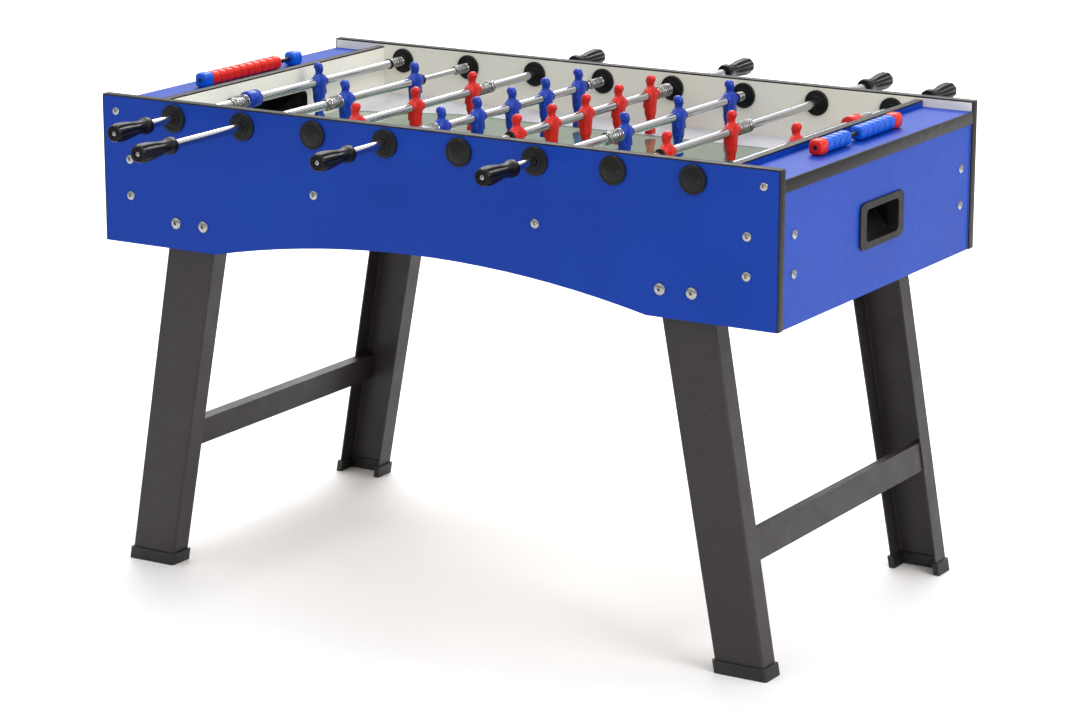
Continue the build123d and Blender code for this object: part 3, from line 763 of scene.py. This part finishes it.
row_of_beads("red_score_beads", "red_beads", "red_bead_stack", counter_red)
row_of_beads("blue_score_beads_front", "blue_beads_front", "blue_bead_stack_front", counter_blue)
row_of_beads("blue_score_beads_rear", "blue_beads_rear", "blue_bead_stack_rear", counter_blue)
for name, node, material, slot in (("blue_counter_ends", "blue_scorer_blocks", counter_blue, "blue_plastic"),
                                   ("red_counter_ends", "red_scorer_blocks", counter_red, "red_plastic")):
    blocks = []
    for low, high in solids(node):
        outer = high if high.y > 0 else low
        outer.y -= math.copysign(END_TUCK, outer.y)
        blocks.append((bead_shape(high - low, SCORER_R, *BLOCK_ROUND), material,
                       [Matrix.Translation((low + high) / 2)]))
    piece(name, blocks, "cabinet", [node], sharp=50.0)

bar_low, bar_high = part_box("scorer_bars")
bar_half = bar_high.y - END_TUCK
counter_bar = turned(rounded_ends(SCORER_R, -bar_half, bar_half, BAR_CHAMFER), count=24)
bar_z = (bar_low.z + bar_high.z) / 2
bar_places = [Matrix.Translation((s * (bar_high.x - SCORER_R), 0, bar_z)) for s in (-1, 1)]
piece("counter_bars", [(counter_bar, black_steel, bar_places)], "cabinet", ["scorer_bars"])

# ---- Rods --------------------------------------------------------------------------------------------
# Telescopic: a thin steel bar is held by the far bearing and the tube slides over it. Both are
# chromed. A coil spring on the bar and one on the tube soften the stops, and a black bush ends the tube.

CLOSED_ENDS = 0.55       # how much closer the turns lie at the ends than midway


def ring_outline(inner, outer, start, end, chamfer):
    """Outline of a ring or tube with its outer edges chamfered."""
    return [(inner, start)] + rounded_ends(outer, start, end, chamfer) + [(inner, end)]


def coil_spring():
    """Closed-end coil spring along Z."""
    given_sockets = {"Base": ("Geometry", None), "Turns": ("Float", 9.0), "Radius": ("Float", 0.01),
                     "Length": ("Float", 0.04), "Wire": ("Float", 0.001), "Material": ("Material", None)}
    tree, given, result = new_group("coil_spring", "GeometryNodeTree", given_sockets,
                                    {"Geometry": "Geometry"})
    spiral = add_node(tree, "GeometryNodeCurveSpiral",
                      {"Resolution": 24, "Rotations": given["Turns"], "Start Radius": given["Radius"],
                       "End Radius": given["Radius"], "Height": 0.0})
    along = add_node(tree, "GeometryNodeSplineParameter").outputs["Factor"]
    eased = reckon(tree, "SINE", reckon(tree, "MULTIPLY", along, 2 * math.pi))
    share = reckon(tree, "MULTIPLY", eased, -CLOSED_ENDS / (2 * math.pi))
    height = reckon(tree, "MULTIPLY", reckon(tree, "ADD", along, share), given["Length"])
    lift = add_node(tree, "ShaderNodeCombineXYZ", {2: height})
    risen = add_node(tree, "GeometryNodeSetPosition", {"Geometry": spiral.outputs[0],
                                                       "Offset": lift.outputs[0]})
    wire = add_node(tree, "GeometryNodeCurvePrimitiveCircle", {"Resolution": 8, "Radius": given["Wire"]})
    solid = add_node(tree, "GeometryNodeCurveToMesh",
                     {"Curve": risen.outputs[0], "Profile Curve": wire.outputs[0], "Fill Caps": True})
    return give_out(tree, result, solid.outputs[0], given["Material"])


SPRING = coil_spring()
TUBE_BORE = 0.0065
BUSH_R = 0.010
BUSH_T = 0.004
BUSH_IN = 0.014          # length of the bush inside the tube
BUSH_EDGE = 0.0005
BUSH_LIP = 0.0010
TUBE_EDGE = 0.0004
BAR_EDGE = 0.0008
HEAD_SEAT = 0.003        # the butt screw's head stands this deep in the grip
TUBE_SPRING = (0.012, 0.046, 0.0010, 8.0)       # outer radius, length, wire radius, turns
BAR_SPRING = (0.009, 0.040, 0.0009, 8.0)
FLANGE_T = 0.008
HANDLE_BORE = 0.084
HANDLE_LENGTH = 0.100
chrome = finish("chromed_steel", (srgb(186, 187, 190), srgb(206, 206, 209)), 14.0, (0.10, 0.22),
                (1500.0, 0.000002), stretch=(1, 0.05, 1), sockets={"Metallic": 1.0})
spring_steel = finish("bright_spring_steel", (srgb(150, 151, 154), srgb(172, 170, 166)), 60.0, (0.16, 0.3),
                      (1400.0, 0.000006), sockets={"Metallic": 1.0})


def spring_part(size, start, length):
    """A spring as a part for piece(), from a place along the rod."""
    radius, _, wire, turns = size
    made = grown(SPRING, bpy.data.meshes.new("base"),
                 {"Turns": turns, "Radius": radius - wire, "Length": length - 2 * wire, "Wire": wire,
                  "Material": spring_steel})
    along_rod = Matrix.Translation((0, start + wire, 0)) @ Matrix.Rotation(-math.pi / 2, 4, "X")
    return made, along_rod


screw_head = cross_head(radius=0.005, height=0.0020, shank=0.0020, length=0.012, recess=0.6)
for n in RODS:
    place = rod_place[n]
    bar_start, bar_end = span(f"rod_{n}_bar")
    bush_end = span(f"rod_{n}_tube")[1]
    players_low = span(f"rod_{n}_players")[0]
    butt, handle_end = span(f"rod_{n}_handle")
    stop = inner_face - FLANGE_T
    bar = turned(rounded_ends(BAR_R, bar_start, bar_end, BAR_EDGE), count=32)
    spring_start = max(stop - BAR_SPRING[1], bush_end)
    coil, lie = spring_part(BAR_SPRING, spring_start, stop - spring_start)
    piece(f"rod_{n}_steel_bar", [(bar, chrome, [place]), (coil, spring_steel, [place @ lie])],
          f"rod_{n}_inner", [f"rod_{n}_bar"])
    tube_start = handle_end - HANDLE_BORE
    tube_end = bush_end - BUSH_T
    tube = turned(ring_outline(TUBE_BORE, TUBE_R, tube_start, tube_end, TUBE_EDGE), closed=True)
    bush = turned([(BAR_R + FIT, tube_end - BUSH_IN), (TUBE_BORE, tube_end - BUSH_IN), (TUBE_BORE, tube_end),
                   (BUSH_R - BUSH_EDGE, tube_end), (BUSH_R, tube_end + BUSH_EDGE),
                   (BUSH_R, bush_end - BUSH_LIP), (BUSH_R - BUSH_LIP, bush_end),
                   (BAR_R + FIT, bush_end)], closed=True)
    coil, lie = spring_part(TUBE_SPRING, players_low - TUBE_SPRING[1], TUBE_SPRING[1])
    butt_screw = Matrix.Translation((0, butt + HEAD_SEAT, 0)) @ Matrix.Rotation(math.pi / 2, 4, "X")
    piece(f"rod_{n}_steel_tube",
          [(tube, chrome, [place]), (bush, bearing_black, [place]), (coil, spring_steel, [place @ lie]),
           (screw_head, zinc, [place @ butt_screw])],
          f"rod_{n}", [f"rod_{n}_tube"])

# ---- Handles ---------------------------------------------------------------------------------------
# Black plastic grips pushed onto the tubes and held by a screw in the butt: a fluted barrel, a
# waist for the fingers and a round collar at the tube's end.


def smooth_step(low, high, value):
    """0 below low, 1 above high, eased between."""
    t = min(1.0, max(0.0, (value - low) / (high - low)))
    return t * t * (3 - 2 * t)


HANDLE_PROFILE = [(0.0000, 0.0120), (0.0008, 0.0132), (0.0030, 0.0146), (0.0060, 0.0160), (0.0140, 0.0167),
                  (0.0220, 0.0168), (0.0350, 0.0160), (0.0480, 0.0145), (0.0600, 0.0126), (0.0700, 0.0118),
                  (0.0780, 0.0124), (0.0840, 0.0138), (0.0860, 0.0145), (0.0875, 0.0151), (0.0900, 0.0152),
                  (0.0950, 0.0150), (0.0975, 0.0147), (0.0990, 0.0138), (0.1000, 0.0125)]
FLUTES = 8
FLUTE_DEPTH = 0.0021
FLUTES_RISE = (0.0, 0.009)        # the flutes deepen over this stretch from the butt
FLUTES_FADE = (0.050, 0.080)      # and run out over this one
HANDLE_STEPS = 60
AROUND = 96
MOUTH_R = 0.0085         # chamfer where the tube goes in
MOUTH_T = 0.0006
SCREW_HOLE_R = 0.0026
HEAD_HOLE = (0.0056, 0.0058)
NOTCH_RING = ((0.0078, 0.0), (0.0084, 0.0009), (0.0104, 0.0009), (0.0110, 0.0))
NOTCH_STEP = 12          # points of the ring from one notch to the next
NOTCH_WIDTH = 8


def handle_radius(y):
    """Radius of the grip at a distance from its butt."""
    for (y0, r0), (y1, r1) in zip(HANDLE_PROFILE, HANDLE_PROFILE[1:]):
        if y <= y1:
            return r0 + (r1 - r0) * (y - y0) / (y1 - y0)
    return HANDLE_PROFILE[-1][1]


def handle_shape():
    """Grip from its butt at y = 0, with flutes along the barrel and a recess in the butt."""
    rings = []
    stations = sorted({y for y, _ in HANDLE_PROFILE} | {HANDLE_LENGTH * i / HANDLE_STEPS
                                                        for i in range(HANDLE_STEPS + 1)})
    for y in stations:
        depth = FLUTE_DEPTH * smooth_step(*FLUTES_RISE, y) * (1 - smooth_step(*FLUTES_FADE, y))
        ring = []
        for i in range(AROUND):
            a = 2 * math.pi * i / AROUND
            flute = (0.5 + 0.5 * math.cos(FLUTES * a)) ** 2
            r = handle_radius(y) - depth * flute
            ring.append((r * math.sin(a), y, r * math.cos(a)))
        rings.append(ring)
    bore_end = HANDLE_LENGTH - HANDLE_BORE
    for radius, y in ((MOUTH_R, HANDLE_LENGTH), (TUBE_R, HANDLE_LENGTH - MOUTH_T), (TUBE_R, bore_end),
                      (SCREW_HOLE_R, bore_end), (SCREW_HOLE_R, HEAD_SEAT), (HEAD_HOLE[0], HEAD_SEAT),
                      (HEAD_HOLE[1], 0.0)):
        rings.append(circle(radius, y, AROUND))
    for radius, y in NOTCH_RING:
        rings.append([(px, y if i % NOTCH_STEP < NOTCH_WIDTH else 0.0, pz)
                      for i, (px, _, pz) in enumerate(circle(radius, y, AROUND))])
    return skin(rings, closed=True)


grip_plastic = finish("grip_plastic", (srgb(6, 5, 7), srgb(12, 10, 14)), 30.0, (0.30, 0.42),
                      (1300.0, 0.00001), rubbed=(srgb(70, 64, 74), 0.0008, 0.25),
                      sockets={"Specular IOR Level": 0.18})
grip = as_mesh(handle_shape())
for n in RODS:
    butt = span(f"rod_{n}_handle")[0]
    piece(f"rod_{n}_grip", [(grip, grip_plastic, [rod_place[n] @ Matrix.Translation((0, butt, 0))])],
          f"rod_{n}", [f"rod_{n}_handle"], sharp=50.0)

# ---- Players ---------------------------------------------------------------------------------------
# Figures moulded round the tube in one glossy plastic, blue or red: egg-shaped head, arms held in to
# the sides, shorts and two legs that end in one square foot. The goalkeepers' rods have a collar.

MILLIMETRE = 0.001
FIGURE_VOXEL = 0.0007
FIGURE_TRIANGLES = 9000
CHEST_BORE = 0.03        # half the length of the cut that clears the tube
LUMPS_TO_JOINT = 6


def oval(z, width, depth, forward=0.0, across=0.0, square=2.3, count=32):
    """Level ring of a figure, in millimetres: width across the shoulders, depth front to back."""
    points = []
    for i in range(count):
        c = math.cos(2 * math.pi * i / count)
        s = math.sin(2 * math.pi * i / count)
        x = forward + depth / 2 * math.copysign(abs(c) ** (2 / square), c)
        y = across + width / 2 * math.copysign(abs(s) ** (2 / square), s)
        points.append((x, y, z))
    return points


def ball(place, radii):
    """Egg-shaped lump at a place, in millimetres."""
    shape = bmesh.new()
    bmesh.ops.create_uvsphere(shape, u_segments=24, v_segments=16, radius=1.0,
                              matrix=Matrix.Translation(place) @ Matrix.Diagonal((*radii, 1)))
    return shape


def limb(joints):
    """Lumps strung along a line of (x, y, z, radius) joints, in millimetres."""
    lumps = []
    for one, two in zip(joints, joints[1:]):
        for k in range(LUMPS_TO_JOINT):
            t = k / LUMPS_TO_JOINT
            x, y, z, r = [a + (b - a) * t for a, b in zip(one, two)]
            lumps.append(ball((x, y, z), (r, r, r)))
    return lumps


def figure_lumps():
    """Closed shapes that together make one player, facing +X, with the rod along Y at the origin."""
    lumps = [
        # trunk: shoulders, chest, waist and hips
        skin([oval(15.5, 14, 13), oval(12.5, 23, 16.5), oval(9, 30, 19.5), oval(3, 33, 22, 0.3),
              oval(-5, 33, 22.5, 0.4), oval(-13, 30.5, 21.5, 0.3), oval(-20, 28, 20, 0.1),
              oval(-27, 26.5, 19), oval(-34, 25.5, 18.4), oval(-36, 24, 16.8)]),
        skin([oval(21, 12.5, 12.5), oval(15, 13, 13), oval(8, 18, 14)]),
        # head, jaw, hair, nose and ears
        ball((0.6, 0, 26.0), (8.6, 7.6, 10.6)),
        ball((3.2, 0, 20.2), (5.6, 5.4, 5.0)),
        ball((-1.0, 0, 29.2), (8.9, 8.2, 7.8)),
        ball((9.0, 0, 24.6), (1.9, 1.3, 2.2)),
        ball((-0.4, 7.6, 25.2), (1.8, 1.2, 2.6)),
        ball((-0.4, -7.6, 25.2), (1.8, 1.2, 2.6)),
        # one square foot
        skin([oval(-56, 15, 9.5, 0, 0, 3), oval(-60, 17.5, 12, 0, 0, 4), oval(-64, 19.5, 14.4, 0, 0, 6),
              oval(-71.5, 19.9, 14.9, 0, 0, 7), oval(-73, 18.6, 13.6, 0, 0, 7)]),
    ]
    hub = ((9.2, -19), (9.8, -18.2), (10.2, -12), (10.2, 12), (9.8, 18.2), (9.2, 19))
    lumps.append(turned(hub, count=32))
    for s in (-1, 1):
        lumps += limb([(0, s * 12.6, 8.5, 4.8), (0.3, s * 14.2, 1, 4.8), (1.5, s * 14.0, -8, 4.4),
                       (4.2, s * 12.4, -16, 3.9), (5.6, s * 11.2, -22, 3.6)])
        lumps.append(skin([oval(-26, 13.5, 18.2, 0, s * 5.6), oval(-38, 12.2, 15.8, 0.2, s * 5.2),
                           oval(-39, 10.4, 13.2, 0.2, s * 4.9), oval(-46, 9.6, 12.0, -0.3, s * 4.5),
                           oval(-54, 8.4, 10.2, 0, s * 4.2), oval(-60, 8.6, 10.4, 0, s * 4.5)]))
    return lumps


def figure_mesh():
    """One player as a single skin with the tube's bore through its chest."""
    whole = bmesh.new()
    for lump in figure_lumps():
        whole.from_mesh(as_mesh(lump))
    bmesh.ops.scale(whole, vec=(MILLIMETRE,) * 3, verts=whole.verts[:])
    bmesh.ops.recalc_face_normals(whole, faces=whole.faces[:])
    holder = hold(as_mesh(whole))
    remesh = holder.modifiers.new("one_skin", "REMESH")
    remesh.mode = "VOXEL"
    remesh.voxel_size = FIGURE_VOXEL
    soften = holder.modifiers.new("soften", "SMOOTH")
    soften.factor = 0.5
    soften.iterations = 3
    moulded = evaluated_mesh(holder)
    holder = hold(moulded)
    thin = holder.modifiers.new("thin", "DECIMATE")
    triangles = sum(len(p.vertices) - 2 for p in moulded.polygons)
    thin.ratio = min(1.0, FIGURE_TRIANGLES / triangles)
    thin.use_collapse_triangulate = True
    return cut_from(holder, turned([(TUBE_R, -CHEST_BORE), (TUBE_R, CHEST_BORE)], count=48))


TEAM_ROWS = {1: 1, 2: 2, 3: 3, 4: 5, 5: 5, 6: 3, 7: 2, 8: 1}
HALF_PLAYER = 0.019
COLLAR_R = 0.016
COLLAR_LENGTH = 0.034
COLLAR_EDGE = 0.0015
team_blue = finish("team_blue", (srgb(4, 46, 148), srgb(8, 54, 160)), 40.0, (0.24, 0.36),
                   (1000.0, 0.000012), rubbed=(srgb(60, 104, 214), 0.0012, 0.3), sockets=GLOSS)
team_red = finish("team_red", (srgb(188, 22, 16), srgb(200, 30, 22)), 40.0, (0.24, 0.36),
                  (1000.0, 0.000012), rubbed=(srgb(240, 96, 84), 0.0012, 0.3), sockets=GLOSS)
figure = figure_mesh()
for n in RODS:
    blue = side_of(f"rod_{n}_players") < 0
    plastic = team_blue if blue else team_red
    low, high = span(f"rod_{n}_players")
    last = high - HALF_PLAYER
    first = low + HALF_PLAYER
    count = TEAM_ROWS[n]
    steps = [last] if count == 1 else [first + (last - first) * k / (count - 1) for k in range(count)]
    parts = [(figure, plastic, [rod_place[n] @ Matrix.Translation((0, y, 0)) for y in steps])]
    if count == 1:
        ring = ring_outline(TUBE_R, COLLAR_R, low, low + COLLAR_LENGTH, COLLAR_EDGE)
        parts.append((turned(ring, closed=True), plastic, [rod_place[n]]))
    piece(f"rod_{n}_figures", parts, f"rod_{n}", [f"rod_{n}_players"],
          sharp=60.0)

# ---- Floor, camera and light --------------------------------------------------------------------------
# A pale seamless studio floor, a large soft light from the right, one overhead, one on the ground
# behind, and a sky that is dimmer low down, so that chrome and plastic show their shape.

FLOOR_HALF = 30.0
floor_mesh = bpy.data.meshes.new("floor")
floor_mesh.from_pydata([(-FLOOR_HALF, -FLOOR_HALF, 0), (FLOOR_HALF, -FLOOR_HALF, 0),
                        (FLOOR_HALF, FLOOR_HALF, 0), (-FLOOR_HALF, FLOOR_HALF, 0)], [], [(0, 1, 2, 3)])
floor = bpy.data.objects.new("floor", floor_mesh)
floor_mesh.materials.append(finish("studio_floor", (srgb(240, 240, 240), srgb(243, 243, 243)), 0.4,
                                   (0.6, 0.75), (60.0, 0.0001)))
bpy.context.scene.collection.objects.link(floor)

CAMERA_PLACE = (3.182, -5.216, 1.948)
CAMERA_WAY = (-0.5044, 0.8272, -0.2475)
camera_data = bpy.data.cameras.new("camera")
camera_data.lens = 115.7
camera_data.sensor_width = 36.0
camera_data.shift_x = 0.0016
camera_data.shift_y = -0.0002
camera = bpy.data.objects.new("camera", camera_data)
camera.location = CAMERA_PLACE
camera.rotation_euler = Vector(CAMERA_WAY).to_track_quat("-Z", "Y").to_euler()
bpy.context.scene.collection.objects.link(camera)
bpy.context.scene.camera = camera


def soft_light(name, place, aim, size, power):
    """Square area light at a place, turned to a point."""
    data = bpy.data.lights.new(name, "AREA")
    data.size = size
    data.energy = power
    made = bpy.data.objects.new(name, data)
    made.location = place
    made.rotation_euler = (Vector(aim) - Vector(place)).to_track_quat("-Z", "Y").to_euler()
    bpy.context.scene.collection.objects.link(made)


soft_light("right_softbox", (4.5, -1.0, 3.2), (0, 0, 0.6), 2.5, 128)
soft_light("overhead_softbox", (-0.5, 1.0, 4.5), (0, 0, 0.8), 2.0, 90)
soft_light("backdrop_light", (-3.5, 7.0, 6.0), (-3.5, 7.5, 0), 6.0, 700)

LOW_SKY = 0.45
HIGH_SKY = 1.1
SKY_RISE = (0.1, 0.55)
world = bpy.data.worlds.new("studio")
world.use_nodes = True
sky_height = add_node(world.node_tree, "ShaderNodeSeparateXYZ",
                      {0: add_node(world.node_tree, "ShaderNodeTexCoord").outputs["Generated"]})
sky_level = spread(world.node_tree, sky_height.outputs[2], *SKY_RISE, LOW_SKY, HIGH_SKY,
                   interpolation_type="SMOOTHSTEP")
background = world.node_tree.nodes["Background"]
background.inputs["Color"].default_value = (1.0, 1.0, 1.0, 1.0)
world.node_tree.links.new(sky_level, background.inputs["Strength"])
bpy.context.scene.world = world
bpy.context.scene.view_settings.view_transform = "Standard"
